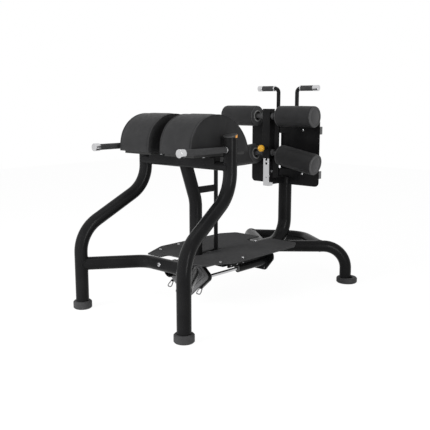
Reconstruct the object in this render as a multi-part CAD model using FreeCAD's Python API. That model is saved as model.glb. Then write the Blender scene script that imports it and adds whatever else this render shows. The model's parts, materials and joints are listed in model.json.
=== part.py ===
"""Glute ham developer: a welded tube bench with two half-round thigh pads, a standing deck,
two foot plates, and four ankle rollers on a carriage that slides on an upright post.
Millimetres. +X is the right side, +Y runs from the hand grips to the foot plates, +Z is up.
The origin is on the floor, in the middle of the machine's length and width."""
import FreeCAD
import Part
import math
import os

V = FreeCAD.Vector

# Shared sizes
tube_radius = 38.0
tube_wall = 3.0
plate_thickness = 6.0
fit_gap = 0.1
shaft_gap = 0.05
overrun = 5.0
bolt_head_radius = 8.0
bolt_head_height = 5.0

# Front legs, measured from the middle of the front feet
leg_x = 420.0
leg_head_x = 339.0
leg_head_y = 439.0
leg_lower_knee_z = 453.0
leg_head_length = 302.0
leg_top_z = 1005.0
leg_lower_bend = 211.0
leg_upper_bend = 195.0
leg_cap_front_height = 3.0
leg_cap_rear_height = 19.0
cap_accent_thickness = 1.5
cap_accent_drop = 2.0

# Feet
front_foot_radius = 54.0
front_foot_height = 45.0
rear_foot_radius = 68.0
rear_foot_height = 36.0
rear_foot_offset = 8.0
foot_floor = 12.0
foot_chamfer = 6.0

# Bowed bar between the front legs
lower_bar_z = 265.0
lower_bar_middle_y = 300.0
lower_bar_corner_x = 193.0
lower_bar_bend = 110.0
bar_bolt_x = -45.0
bar_bolt_rise = 9.0
bar_bolt_radius = 12.0
bar_bolt_seat = 3.0
bar_bolt_socket_share = 0.5

# Straight bar under the pads
upper_bar_drop = 156.0
upper_bar_radius = 25.0
upper_bar_y = 421.0
upper_bar_half_length = 345.0

# Spine with its column, one bent tube
spine_radius = 44.5
spine_wall = 4.0
spine_z = 245.0
spine_bend = 155.0
column_y = 1400.0
column_top_z = 687.0

# Rear legs and the bar between them
rear_leg_joint_y = 1156.0
rear_leg_x = 420.0
rear_leg_y = 1520.0
rear_leg_bend = 150.0
rear_bar_end_x = 290.0
rear_bar_corner_y = 1606.0
rear_bar_bend = 160.0

# Centre post, strut and link
post_y = 522.0
post_head_length = 229.0
post_bend = 200.0
strut_y = 698.0
strut_radius = 12.5
link_drop = 169.0
link_height = 40.0
link_thickness = 8.0

# Deck
deck_z = 293.0
deck_half_width = 312.0
deck_front_y = 336.0
deck_front_half = 222.0
deck_shoulder_y = 530.0
deck_rear_y = 1185.0
deck_rear_half = 254.0
deck_rear_shoulder_y = 1083.0
deck_rear_corner = 24.0
deck_corner = 12.0
deck_shoulder = 60.0
deck_notch_half = 106.0
deck_notch_y = 396.0
deck_notch_corner = 22.0
rear_slot_half = 46.0
rear_slot_y = 1036.0
rear_slot_round_share = 0.6
slot_bolt_y = 1086.0
slot_bolt_seat = 1.0
strut_slot_half = 18.0
strut_slot_y = 738.0
post_hole_gap = 4.0
deck_front_bolt_x = 246.0
deck_front_bolt_y = 464.0
deck_rear_bolt_x = 266.0
deck_rear_bolt_y = 639.0
cross_half_length = 285.0
cross_width = 40.0
cross_height = 12.0

# Pads
pad_inner_x = 42.0
pad_outer_x = 287.0
pad_rise = 67.0
pad_middle_y = 430.0
pad_half_depth = 231.0
pad_height = 212.0
pad_lean = 32.0
pad_edge_inset = 12.0
pad_edge_depth = 9.0
pad_corner_share = 0.25
pad_side_draw = 3.0
board_thickness = 14.0
board_inset = 14.0
carrier_half_width = 262.0
carrier_half_depth = 60.0
carrier_thickness = 8.0
saddle_half_depth = 25.0
saddle_wall = 5.0
carrier_arm_half = 20.0
carrier_arm_height = 24.0
pad_bolt_inset_x = 30.0
pad_bolt_front_y = 320.0
pad_bolt_rear_y = 530.0

# Front hand grips
handle_drop = 66.0
handle_bar_radius = 12.5
grip_radius = 17.0
grip_front_y = 88.0
grip_rear_y = 398.0
grip_ring_length = 8.0
grip_ring_radius = 17.5
grip_cap_front_y = 54.0
grip_cap_radius = 22.0
grip_cap_wall = 8.0
grip_cap_chamfer = 1.5

# Foot plates and the frame that carries them
foot_plate_inner_x = 47.0
foot_plate_outer_x = 278.0
foot_plate_y = 1383.0
foot_plate_bottom_z = 640.0
foot_plate_top_z = 1084.0
foot_plate_corner = 28.0
foot_plate_inner_corner = 8.0
cross_tube_height = 50.0
cross_tube_depth = 25.0
cross_tube_wall = 2.5
cross_tube_half_length = 262.0
cross_tube_inset = 78.0
tube_end_length = 18.0
mast_half_width = 53.0
mast_depth = 50.0
foot_plate_bolt_x = 150.0
column_cap_half_width = 44.0

# Top handles
top_handle_x = 76.0
top_handle_inset = 3.0
top_handle_radius = 13.0
top_handle_rise = 271.0
top_handle_bend = 28.0
top_collar_x = 104.0
top_collar_length = 8.0
top_collar_radius = 19.0
top_grip_radius = 17.5
top_grip_end_x = 206.0
top_cap_end_x = 244.0

# Roller post, its arm and the carriage on it
tower_y = 1208.0
roller_post_width = 48.0
roller_post_depth = 40.0
roller_post_wall = 3.0
roller_post_bottom_z = 644.0
roller_post_top_z = 1010.0
sleeve_gap = 0.3
sleeve_thickness = 2.7
carriage_wall = 3.0
carriage_bottom_z = 828.0
carriage_top_z = 1145.0
carriage_cap_thickness = 4.0
sleeve_lip = 4.0
arm_half_width = 20.0
arm_bottom_z = 652.0
arm_height = 34.0
arm_wall = 4.0
hole_pitch = 25.5
hole_radius = 7.5
holes_below = 4
holes_above = 2
stop_screw_z = 700.0
stop_screw_radius = 5.0
stop_screw_height = 3.0

# Pop pin
pin_z = 893.0
pin_radius = 6.5
pin_barrel_radius = 10.0
pin_barrel_length = 22.0
pin_nose_gap = 0.4
pin_push_gap = 12.0
knob_radius = 22.0
knob_neck_share = 0.7

# Rollers
roller_radius = 66.0
roller_edge = 3.0
axle_radius = 16.5
axle_root_radius = 21.0
axle_root_length = 20.0
axle_root_overlap = 10.0
upper_roller_z = 1098.0
upper_roller_inner_x = 92.0
upper_roller_outer_x = 358.0
lower_roller_inner_x = 102.0
lower_roller_inner_z = 852.0
lower_roller_outer_x = 371.0
lower_roller_outer_z = 803.0
hub_radius = 30.0
hub_recess_radius = 26.0
hub_recess_depth = 18.0
hub_disc_radius = 64.5
hub_disc_thickness = 4.0
axle_end_gap = 6.0

# Band anchor carriage under the deck
anchor_y = 448.0
anchor_plate_thickness = 20.0
anchor_top_z = 256.0
anchor_top_half = 128.0
anchor_nose_x = 193.0
anchor_nose_z = 198.5
anchor_bottom_half = 108.0
anchor_bottom_z = 120.5
anchor_corner = 20.0
anchor_nose = 29.0
anchor_bottom_corner = 10.0
anchor_notch_gap = 8.0
slab_thickness = 13.0
slab_edge = 5.0
slab_nose_xs = (180.0, 162.0, 124.0)
slab_nose_zs = (201.0, 216.0, 238.0)
slab_bottom_zs = (53.0, 92.0, 132.0)
slab_bottom_half = 20.0
slab_top_share = 0.68
slab_corner = 20.0
slide_rod_x = 130.0
slide_rod_z = 190.0
slide_rod_radius = 10.0
slide_travel = 150.0
slide_end_gap = 7.0
housing_length = 267.0
housing_clear = 91.0
housing_radius = 25.0
housing_wall = 4.0
bushing_length = 30.0
bushing_lip = 4.0
bushing_lip_radius = 16.0
rear_plate_thickness = 12.0
rear_plate_half = 196.0
rear_plate_nose_z = 206.0
rear_plate_bottom_half = 135.0
rear_plate_bottom_z = 130.0
rear_plate_corner = 30.0
rear_plate_nose = 22.0
rail_thickness = 12.0
rail_front_gap = 4.0
rail_lip_gap = 1.5
rail_bolt_z = 220.0
rail_bolt_inset = 21.0
rail_bolt_pitch = 56.0
rail_bolt_count = 3
rail_bolt_radius = 4.5
rail_bolt_height = 3.0
rear_plate_hole_radius = 6.0
rear_plate_hole_x = 123.0
ring_x = 119.5
ring_bar_z = 131.0
ring_wire_radius = 3.2
ring_top_half = 8.5
ring_top_corner = 4.0
ring_bottom_half = 17.0
ring_bottom_corner = 9.0
ring_length = 42.0
ring_tilt = 40.0
lug_half_width = 5.0
lug_depth = 12.0
lug_half_height = 6.0

# Worked out from the sizes above
leg_radius = tube_radius
leg_upper_knee_z = leg_top_z - leg_head_length
upper_bar_z = leg_top_z - upper_bar_drop
post_knee_z = upper_bar_z - post_head_length
link_z = upper_bar_z - link_drop
pad_base_z = upper_bar_z + pad_rise
handle_z = leg_top_z - handle_drop
cross_tube_upper_z = foot_plate_top_z - cross_tube_inset
cross_tube_lower_z = foot_plate_bottom_z + cross_tube_inset
top_handle_z = cross_tube_upper_z + top_handle_rise
top_handle_foot_z = cross_tube_upper_z + cross_tube_height / 2
housing_front_y = deck_rear_bolt_y + cross_width / 2 + housing_clear
rear_plate_y = housing_front_y + housing_length
rail_front_y = deck_rear_bolt_y + cross_width / 2 + rail_front_gap
rail_bottom_z = slide_rod_z + bushing_lip_radius + rail_lip_gap
slide_rod_end_y = rear_plate_y - slide_travel - slide_end_gap
carriage_half_width = roller_post_width / 2 + sleeve_gap + sleeve_thickness + carriage_wall
carriage_half_depth = roller_post_depth / 2 + sleeve_gap + sleeve_thickness + carriage_wall
post_front_y = tower_y - roller_post_depth / 2
carriage_front_y = tower_y - carriage_half_depth
foot_plate_back_y = foot_plate_y + plate_thickness
cross_tube_back_y = foot_plate_back_y + cross_tube_depth
mast_bottom_z = cross_tube_lower_z - cross_tube_height / 2
mast_top_z = foot_plate_top_z
top_handle_y = cross_tube_back_y - top_handle_inset
board_z = pad_base_z - board_thickness
deck_top_z = deck_z + plate_thickness
rear_bar_slope = math.atan2(rear_leg_y - rear_leg_joint_y, rear_leg_x)
rear_bar_end_y = rear_leg_joint_y + rear_bar_end_x * math.tan(rear_bar_slope)
rear_bar_turn = math.atan2(rear_bar_corner_y - rear_bar_end_y, rear_bar_end_x)
rear_bar_apex_y = rear_bar_corner_y - rear_bar_bend * (1 / math.cos(rear_bar_turn) - 1)
rear_plate_hole_z = rear_plate_bottom_z + 2 * rear_plate_hole_radius
ring_y = anchor_y - lug_depth / 2
machine_front_y = -front_foot_radius
machine_rear_y = rear_bar_apex_y + tube_radius
origin_y = (machine_front_y + machine_rear_y) / 2

# The pieces, by node name, and the right-hand metal trims of the grips
pieces = {}
trims = []


def rounded_edges(points, radii, closed):
    """Straight runs joined by tangent arcs; a radius of zero keeps the corner."""
    count = len(points)
    corners = range(count) if closed else range(1, count - 1)
    starts = list(points)
    ends = list(points)
    arcs = {}
    for i in corners:
        radius = radii[i] if closed else radii[i - 1]
        if radius == 0:
            continue
        corner = points[i]
        back = (points[i - 1] - corner).normalize()
        ahead = (points[(i + 1) % count] - corner).normalize()
        turn = math.pi - back.getAngle(ahead)
        reach = radius * math.tan(turn / 2)
        middle = (back + ahead).normalize()
        arc_middle = corner + middle * (radius / math.cos(turn / 2) - radius)
        starts[i] = corner + back * reach
        ends[i] = corner + ahead * reach
        arcs[i] = Part.Arc(starts[i], arc_middle, ends[i]).toShape()
    edges = []
    for i in range(count if closed else count - 1):
        if i in arcs:
            edges.append(arcs[i])
        following = (i + 1) % count
        if (starts[following] - ends[i]).Length > fit_gap:
            edges.append(Part.makeLine(ends[i], starts[following]))
    return edges


def pipe_solid(points, radii, radius):
    """A round bar bent along the points."""
    path = Part.Wire(rounded_edges(points, radii, False))
    section = Part.Wire([Part.makeCircle(radius, points[0], points[1] - points[0])])
    return path.makePipeShell([section], True, False)


def pipe(points, radii, radius, wall):
    """A round tube bent along the points."""
    outer = pipe_solid(points, radii, radius)
    return outer.cut(pipe_solid(points, radii, radius - wall))


def rod(start, end, radius):
    return Part.makeCylinder(radius, (end - start).Length, start, end - start)


def block(x, y, z):
    """A box from pairs of limits."""
    size = (x[1] - x[0], y[1] - y[0], z[1] - z[0])
    return Part.makeBox(size[0], size[1], size[2], V(x[0], y[0], z[0]))


def box_tube(x, y, z, wall, axis):
    """A rectangular tube, open along the named axis."""
    grow = [(-wall if name == axis else wall) for name in "xyz"]
    inner = [(low + step, high - step) for (low, high), step in zip((x, y, z), grow)]
    return block(x, y, z).cut(block(*inner))


def fuse(shapes):
    joined = shapes[0]
    for shape in shapes[1:]:
        joined = joined.fuse(shape)
    return joined.removeSplitter()


def mirrored(shape):
    return shape.mirror(V(0, 0, 0), V(1, 0, 0))


def turned(shape, start, direction):
    """Move a shape built along +Z from the origin to start, pointing along direction."""
    shape.Placement = FreeCAD.Placement(start, FreeCAD.Rotation(V(0, 0, 1), direction))
    return shape


def revolved(profile):
    """A solid of revolution about Z from (radius, height) points."""
    points = [V(radius, 0, height) for radius, height in profile]
    face = Part.Face(Part.makePolygon(points + [points[0]]))
    return face.revolve(V(0, 0, 0), V(0, 0, 1), 360)


def both_sides(name, shape):
    """Store a right-hand piece and its left-hand mirror image."""
    pieces[name + "_right"] = shape
    pieces[name + "_left"] = mirrored(shape)


def pair(shape):
    return Part.makeCompound([shape, mirrored(shape)])


def bolt_head(centre, direction, radius=bolt_head_radius, height=bolt_head_height):
    """A round head standing on a face, with a chamfered rim."""
    rim = height / 2
    profile = [(0, 0), (radius, 0), (radius, rim), (radius - rim, height), (0, height)]
    return turned(revolved(profile), centre, direction)


def leg_points(bottom_z):
    return [V(leg_x, 0, bottom_z), V(leg_x, 0, leg_lower_knee_z),
            V(leg_head_x, leg_head_y, leg_upper_knee_z), V(leg_head_x, leg_head_y, leg_top_z)]


def lower_bar_points():
    """The right half of the bowed bar, from the middle out to the leg."""
    return [V(0, lower_bar_middle_y, lower_bar_z),
            V(lower_bar_corner_x, lower_bar_middle_y, lower_bar_z), V(leg_x, 0, lower_bar_z)]


def spine_points():
    return [V(0, lower_bar_middle_y, spine_z), V(0, column_y, spine_z),
            V(0, column_y, column_top_z)]


def rear_leg_points():
    return [V(0, rear_leg_joint_y, spine_z), V(rear_leg_x, rear_leg_y, spine_z),
            V(rear_leg_x, rear_leg_y, foot_floor)]


def post_points():
    return [V(0, post_y, spine_z), V(0, post_y, post_knee_z), V(0, leg_head_y, upper_bar_z)]


# Outer forms that other tubes are cut to fit against
leg_bends = [leg_lower_bend, leg_upper_bend]
leg_form = pipe_solid(leg_points(foot_floor), leg_bends, leg_radius)
lower_bar_form = rod(V(-lower_bar_corner_x, lower_bar_middle_y, lower_bar_z),
                     V(lower_bar_corner_x, lower_bar_middle_y, lower_bar_z), tube_radius)
upper_bar_form = rod(V(-upper_bar_half_length, upper_bar_y, upper_bar_z),
                     V(upper_bar_half_length, upper_bar_y, upper_bar_z), upper_bar_radius)
spine_form = pipe_solid(spine_points(), [spine_bend], spine_radius)
rear_leg_form = pipe_solid(rear_leg_points(), [rear_leg_bend], tube_radius)
post_form = pipe_solid(post_points(), [post_bend], tube_radius)
strut_form = rod(V(0, strut_y, spine_z), V(0, strut_y, pad_base_z), strut_radius)


def front_legs():
    leg = pipe(leg_points(foot_floor), leg_bends, leg_radius, tube_wall)
    both_sides("front_leg", leg)


def cap_wedge(reach):
    """A block over the right leg's head that slopes down to the front."""
    middle = (leg_cap_front_height + leg_cap_rear_height) / 2
    fall = (leg_cap_rear_height - middle) * reach / leg_radius
    side_x = leg_head_x - reach
    front = leg_head_y - reach
    rear = leg_head_y + reach
    outline = [V(side_x, front, leg_top_z), V(side_x, rear, leg_top_z),
               V(side_x, rear, leg_top_z + middle + fall),
               V(side_x, front, leg_top_z + middle - fall)]
    return Part.Face(Part.makePolygon(outline + [outline[0]])).extrude(V(2 * reach, 0, 0))


def leg_caps():
    """Wedge caps that slope down to the front, each with a band round its rear half."""
    head = V(leg_head_x, leg_head_y, leg_top_z)
    outer = leg_radius + cap_accent_thickness
    top = head + V(0, 0, 2 * leg_cap_rear_height)
    core = rod(head, top, leg_radius)
    pieces["leg_caps"] = pair(cap_wedge(leg_radius).common(core))
    front_half = block((leg_head_x - outer, leg_head_x + outer), (leg_head_y - outer, leg_head_y),
                       (leg_top_z, top.z))
    band = cap_wedge(outer).common(rod(head, top, outer)).cut(core)
    band = band.cut(front_half)
    band.translate(V(0, 0, -cap_accent_drop))
    pieces["cap_accents"] = pair(band)


def foot(radius, height):
    """A rubber foot with a socket for the tube."""
    socket = tube_radius + fit_gap
    low = radius - foot_chamfer
    return revolved([(0, 0), (low, 0), (radius, foot_chamfer), (radius, height - foot_chamfer),
                     (low, height), (socket, height), (socket, foot_floor), (0, foot_floor)])


def feet():
    front = foot(front_foot_radius, front_foot_height)
    front.translate(V(leg_x, 0, 0))
    both_sides("front_foot", front)
    socket = Part.makeCylinder(tube_radius + fit_gap, rear_foot_height, V(0, 0, foot_floor))
    low = rear_foot_radius - foot_chamfer
    top = rear_foot_height - foot_chamfer
    rear = revolved([(0, 0), (low, 0), (rear_foot_radius, foot_chamfer),
                     (rear_foot_radius, top), (low, rear_foot_height), (0, rear_foot_height)])
    rear.translate(V(rear_foot_offset, rear_foot_offset, 0))
    rear = rear.cut(socket)
    rear.translate(V(rear_leg_x, rear_leg_y, 0))
    both_sides("rear_foot", rear)


def crossbars():
    half = pipe(lower_bar_points(), [lower_bar_bend], tube_radius, tube_wall).cut(leg_form)
    pieces["lower_crossbar"] = fuse([half, mirrored(half)])
    bore_half = upper_bar_half_length - tube_wall
    upper = upper_bar_form.cut(rod(V(-bore_half, upper_bar_y, upper_bar_z),
                                   V(bore_half, upper_bar_y, upper_bar_z),
                                   upper_bar_radius - tube_wall))
    pieces["upper_crossbar"] = upper.cut(leg_form).cut(mirrored(leg_form))
    rear_points = [V(-rear_bar_end_x, rear_bar_end_y, spine_z),
                   V(0, rear_bar_corner_y, spine_z),
                   V(rear_bar_end_x, rear_bar_end_y, spine_z)]
    rear = pipe(rear_points, [rear_bar_bend], tube_radius, tube_wall)
    pieces["rear_crossbar"] = rear.cut(rear_leg_form).cut(mirrored(rear_leg_form))


def base_tubes():
    spine = pipe(spine_points(), [spine_bend], spine_radius, spine_wall)
    pieces["spine_column"] = spine.cut(lower_bar_form)
    leg = pipe(rear_leg_points(), [rear_leg_bend], tube_radius, tube_wall).cut(spine_form)
    both_sides("rear_leg", leg)
    post = pipe(post_points(), [post_bend], tube_radius, tube_wall)
    pieces["centre_post"] = post.cut(spine_form).cut(upper_bar_form)


def strut_and_link():
    top_z = board_z - carrier_thickness - carrier_arm_height
    tube = rod(V(0, strut_y, spine_z), V(0, strut_y, top_z), strut_radius)
    bore = rod(V(0, strut_y, spine_z), V(0, strut_y, top_z), strut_radius - tube_wall)
    pieces["pad_strut"] = tube.cut(bore).cut(spine_form)
    link = block((-link_thickness / 2, link_thickness / 2), (post_y - tube_radius, strut_y),
                 (link_z - link_height / 2, link_z + link_height / 2))
    pieces["link_plate"] = link.cut(post_form).cut(strut_form)


def deck_outline():
    """The deck's rim, with its front notch and rear slot."""
    right = [(deck_notch_half, deck_notch_y, deck_notch_corner),
             (deck_notch_half, deck_front_y, deck_corner),
             (deck_front_half, deck_front_y, deck_corner),
             (deck_half_width, deck_shoulder_y, deck_shoulder),
             (deck_half_width, deck_rear_shoulder_y, deck_rear_corner),
             (deck_rear_half, deck_rear_y, deck_rear_corner),
             (rear_slot_half, deck_rear_y, deck_corner),
             (rear_slot_half, rear_slot_y, rear_slot_half * rear_slot_round_share)]
    corners = right + [(-x, y, radius) for x, y, radius in reversed(right)]
    points = [V(x, y, deck_z) for x, y, radius in corners]
    return points, [radius for x, y, radius in corners]


def deck():
    points, radii = deck_outline()
    face = Part.Face(Part.Wire(rounded_edges(points, radii, True)))
    plate = face.extrude(V(0, 0, plate_thickness))
    cut_z = (deck_z - overrun, deck_top_z + overrun)
    slot = block((-strut_slot_half, strut_slot_half),
                 (post_y, strut_slot_y - strut_slot_half), cut_z)
    slot_end = rod(V(0, strut_slot_y - strut_slot_half, cut_z[0]),
                   V(0, strut_slot_y - strut_slot_half, cut_z[1]), strut_slot_half)
    post_hole = rod(V(0, post_y, cut_z[0]), V(0, post_y, cut_z[1]), tube_radius + post_hole_gap)
    pieces["deck"] = plate.cut(fuse([slot, slot_end, post_hole]))


def deck_cross_members():
    members = []
    for y in (deck_front_bolt_y, deck_rear_bolt_y):
        tube = box_tube((-cross_half_length, cross_half_length),
                        (y - cross_width / 2, y + cross_width / 2),
                        (deck_z - cross_height, deck_z), tube_wall, "x")
        members.append(tube.cut(spine_form).cut(post_form))
    pieces["deck_cross_members"] = Part.makeCompound(members)


def pad_section(x, inset):
    """One closed D section: a flat base and a leaning half ellipse of arcs."""
    half = pad_half_depth - inset
    height = pad_height - inset
    arc_count = 4
    points = []
    for i in range(2 * arc_count + 1):
        angle = math.pi * i / (2 * arc_count)
        rise = math.sin(angle)
        y = pad_middle_y - half * math.cos(angle) - pad_lean * rise
        points.append(V(x, y, pad_base_z + height * rise))
    edges = [Part.Arc(*points[i:i + 3]).toShape() for i in range(0, 2 * arc_count, 2)]
    edges.append(Part.makeLine(points[-1], points[0]))
    return Part.Wire(edges)


def pads():
    corner = pad_edge_depth * pad_corner_share
    middle_x = (pad_inner_x + pad_outer_x) / 2
    sections = [(pad_inner_x, pad_edge_inset), (pad_inner_x + corner, pad_edge_inset / 2),
                (pad_inner_x + pad_edge_depth, pad_side_draw), (middle_x, 0),
                (pad_outer_x - pad_edge_depth, pad_side_draw),
                (pad_outer_x - corner, pad_edge_inset / 2), (pad_outer_x, pad_edge_inset)]
    both_sides("thigh_pad", Part.makeLoft([pad_section(*s) for s in sections], True, True))
    depth = (pad_middle_y - pad_half_depth + pad_edge_inset + board_inset,
             pad_middle_y + pad_half_depth - pad_edge_inset - board_inset)
    board = block((pad_inner_x + board_inset, pad_outer_x - board_inset), depth,
                  (board_z, pad_base_z))
    pieces["pad_boards"] = pair(board)


def pad_carrier():
    """The flat under both boards, the channel that seats it on the bar, and the arm back."""
    under = board_z - carrier_thickness
    half = carrier_half_width
    flat = block((-half, half),
                 (upper_bar_y - carrier_half_depth, upper_bar_y + carrier_half_depth),
                 (under, board_z))
    wall = saddle_half_depth - saddle_wall
    channel = block((-half, half),
                    (upper_bar_y - saddle_half_depth, upper_bar_y + saddle_half_depth),
                    (upper_bar_z, under))
    hollow = block((saddle_wall - half, half - saddle_wall),
                   (upper_bar_y - wall, upper_bar_y + wall), (upper_bar_z, under))
    arm = block((-carrier_arm_half, carrier_arm_half),
                (upper_bar_y + wall, strut_y + strut_radius), (under - carrier_arm_height, under))
    carrier = fuse([flat, channel.cut(hollow), arm])
    pieces["pad_carrier"] = carrier.cut(upper_bar_form).cut(post_form)


def front_handles():
    root = V(leg_head_x, leg_head_y, handle_z)
    bar_front = V(leg_head_x, grip_cap_front_y + grip_cap_wall, handle_z)
    bar = rod(bar_front, root, handle_bar_radius).cut(leg_form)
    pieces["handle_bars"] = pair(bar)
    inner = handle_bar_radius + fit_gap
    grip_start = V(leg_head_x, grip_front_y, handle_z)
    grip_end = V(leg_head_x, grip_rear_y, handle_z)
    ring_end = V(leg_head_x, grip_rear_y + grip_ring_length, handle_z)
    core = rod(bar_front, root, inner)
    both_sides("handle_grip", rod(grip_start, grip_end, grip_radius).cut(core))
    ring = rod(grip_end, ring_end, grip_ring_radius).cut(core).cut(leg_form)
    length = grip_front_y - grip_cap_front_y
    low = grip_cap_radius - grip_cap_chamfer
    cap = revolved([(0, 0), (low, 0), (grip_cap_radius, grip_cap_chamfer),
                    (grip_cap_radius, length), (0, length)])
    cap = turned(cap, V(leg_head_x, grip_cap_front_y, handle_z), V(0, 1, 0)).cut(core)
    trims.extend([ring, cap])


def foot_plates():
    corners = [(foot_plate_inner_x, foot_plate_bottom_z, foot_plate_inner_corner),
               (foot_plate_outer_x, foot_plate_bottom_z, foot_plate_corner),
               (foot_plate_outer_x, foot_plate_top_z, foot_plate_corner),
               (foot_plate_inner_x, foot_plate_top_z, foot_plate_inner_corner)]
    points = [V(x, foot_plate_y, z) for x, z, radius in corners]
    radii = [radius for x, z, radius in corners]
    face = Part.Face(Part.Wire(rounded_edges(points, radii, True)))
    both_sides("foot_plate", face.extrude(V(0, plate_thickness, 0)))


def upright_frame():
    """The mast behind the foot plates, its foot and its two cross tubes, one weldment."""
    back = cross_tube_back_y
    foot = block((-column_cap_half_width, column_cap_half_width),
                 (column_y - spine_radius, back + mast_depth), (column_top_z, mast_bottom_z))
    mast = block((-mast_half_width, mast_half_width), (back, back + mast_depth),
                 (mast_bottom_z, mast_top_z))
    hollow = block((cross_tube_wall - mast_half_width, mast_half_width - cross_tube_wall),
                   (back + cross_tube_wall, back + mast_depth - cross_tube_wall),
                   (mast_bottom_z, mast_top_z - cross_tube_wall))
    parts = [foot, mast.cut(hollow)]
    ends = []
    for z in (cross_tube_lower_z, cross_tube_upper_z):
        limits = (z - cross_tube_height / 2, z + cross_tube_height / 2)
        depth = (foot_plate_back_y, back)
        parts.append(box_tube((-cross_tube_half_length, cross_tube_half_length), depth, limits,
                              cross_tube_wall, "x"))
        reach = (cross_tube_half_length, cross_tube_half_length + tube_end_length)
        ends.append(block(reach, depth, limits))
    pieces["foot_plate_frame"] = fuse(parts)
    pieces["cross_tube_ends"] = Part.makeCompound(ends + [mirrored(end) for end in ends])


def top_handles():
    reach = V(top_cap_end_x - grip_cap_wall, top_handle_y, top_handle_z)
    points = [V(top_handle_x, top_handle_y, top_handle_foot_z),
              V(top_handle_x, top_handle_y, top_handle_z), reach]
    bar = pipe(points, [top_handle_bend], top_handle_radius, tube_wall)
    pieces["top_handle_bars"] = pair(bar)
    core = rod(V(top_handle_x, top_handle_y, top_handle_z), reach, top_handle_radius + fit_gap)
    stops = [top_collar_x, top_collar_x + top_collar_length, top_grip_end_x, top_cap_end_x]
    places = [V(x, top_handle_y, top_handle_z) for x in stops]
    collar = rod(places[0], places[1], top_collar_radius).cut(core)
    grip = rod(places[1], places[2], top_grip_radius).cut(core)
    cap = rod(places[2], places[3], top_collar_radius).cut(core)
    pieces["top_handle_grips"] = pair(grip)
    trims.extend([collar, cap])


def roller_post():
    half_width = roller_post_width / 2
    half_depth = roller_post_depth / 2
    post = box_tube((-half_width, half_width), (tower_y - half_depth, tower_y + half_depth),
                    (roller_post_bottom_z, roller_post_top_z), roller_post_wall, "z")
    for step in range(-holes_below, holes_above + 1):
        z = pin_z + step * hole_pitch
        post = post.cut(rod(V(0, post_front_y - overrun, z),
                            V(0, post_front_y + roller_post_wall + overrun, z), hole_radius))
    pieces["roller_post"] = post
    arm = box_tube((-arm_half_width, arm_half_width), (tower_y + half_depth, column_y),
                   (arm_bottom_z, arm_bottom_z + arm_height), arm_wall, "y")
    pieces["post_arm"] = arm.cut(spine_form)


def carriage_tube():
    """The square tube that slides on the post, its plastic sleeve and its pin barrel."""
    width = (-carriage_half_width, carriage_half_width)
    depth = (tower_y - carriage_half_depth, tower_y + carriage_half_depth)
    tube = box_tube(width, depth, (carriage_bottom_z, carriage_top_z), carriage_wall, "z")
    lid = block(width, depth, (carriage_top_z - carriage_cap_thickness, carriage_top_z))
    gap = sleeve_thickness + sleeve_gap
    outer = ((width[0] + carriage_wall, width[1] - carriage_wall),
             (depth[0] + carriage_wall, depth[1] - carriage_wall))
    sleeve = block(outer[0], outer[1],
                   (carriage_bottom_z, carriage_top_z - carriage_cap_thickness))
    lip = block(width, depth, (carriage_bottom_z - sleeve_lip, carriage_bottom_z))
    bore = block((-roller_post_width / 2 - sleeve_gap, roller_post_width / 2 + sleeve_gap),
                 (depth[0] + carriage_wall + sleeve_thickness,
                  depth[1] - carriage_wall - sleeve_thickness),
                 (carriage_bottom_z - sleeve_lip - overrun, carriage_top_z))
    clearance = rod(V(0, carriage_front_y - overrun, pin_z),
                    V(0, carriage_front_y + carriage_wall + gap, pin_z),
                    (pin_barrel_radius + pin_radius) / 2)
    pieces["carriage_tube"] = fuse([tube, lid]).cut(clearance)
    pieces["carriage_sleeve"] = fuse([sleeve, lip]).cut(bore).cut(clearance)
    front = V(0, carriage_front_y - pin_barrel_length, pin_z)
    back = V(0, carriage_front_y, pin_z)
    barrel = rod(front, back, pin_barrel_radius)
    pieces["pin_barrel"] = barrel.cut(rod(front, back, pin_radius + shaft_gap))


def pop_pin():
    barrel_front = carriage_front_y - pin_barrel_length
    knob_back = barrel_front - pin_push_gap
    neck = knob_radius * knob_neck_share
    knob_middle = knob_back - neck
    nose = post_front_y - pin_nose_gap
    pieces["pop_pin"] = rod(V(0, knob_middle, pin_z), V(0, nose, pin_z), pin_radius)
    ball = Part.makeSphere(knob_radius, V(0, knob_middle, pin_z))
    trim = block((-knob_radius, knob_radius), (knob_back, knob_middle + knob_radius),
                 (pin_z - knob_radius, pin_z + knob_radius))
    pieces["pin_knob"] = ball.cut(trim).cut(pieces["pop_pin"])


def roller(start, end):
    """Foam, hub and axle of one right-hand roller between its two end centres."""
    direction = (end - start).normalize()
    length = (end - start).Length
    thick = hub_disc_thickness
    bore = axle_radius + shaft_gap
    hub = revolved([(hub_recess_radius, 0), (hub_disc_radius, 0), (hub_disc_radius, thick),
                    (hub_radius, thick), (hub_radius, length - thick),
                    (hub_disc_radius, length - thick), (hub_disc_radius, length), (0, length),
                    (0, length - thick), (bore, length - thick),
                    (bore, hub_recess_depth), (hub_recess_radius, hub_recess_depth)])
    sleeve = hub_radius + fit_gap
    edge = roller_radius - roller_edge
    foam = revolved([(sleeve, thick + fit_gap), (edge, thick + fit_gap),
                     (roller_radius, thick + roller_edge),
                     (roller_radius, length - thick - roller_edge),
                     (edge, length - thick - fit_gap), (sleeve, length - thick - fit_gap)])
    root = start - direction * ((start.x - carriage_half_width) / direction.x)
    inside = root - direction * axle_root_overlap
    tip = end - direction * (thick + axle_end_gap)
    boss_end = root + direction * axle_root_length
    axle = fuse([rod(inside, tip, axle_radius), rod(inside, boss_end, axle_root_radius)])
    axle = axle.cut(rod(inside, tip, axle_radius - tube_wall))
    keep_out = block((-carriage_half_width, carriage_half_width),
                     (tower_y - carriage_half_depth, tower_y + carriage_half_depth),
                     (carriage_bottom_z - sleeve_lip, carriage_top_z))
    return turned(foam, start, direction), turned(hub, start, direction), axle.cut(keep_out)


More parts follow.
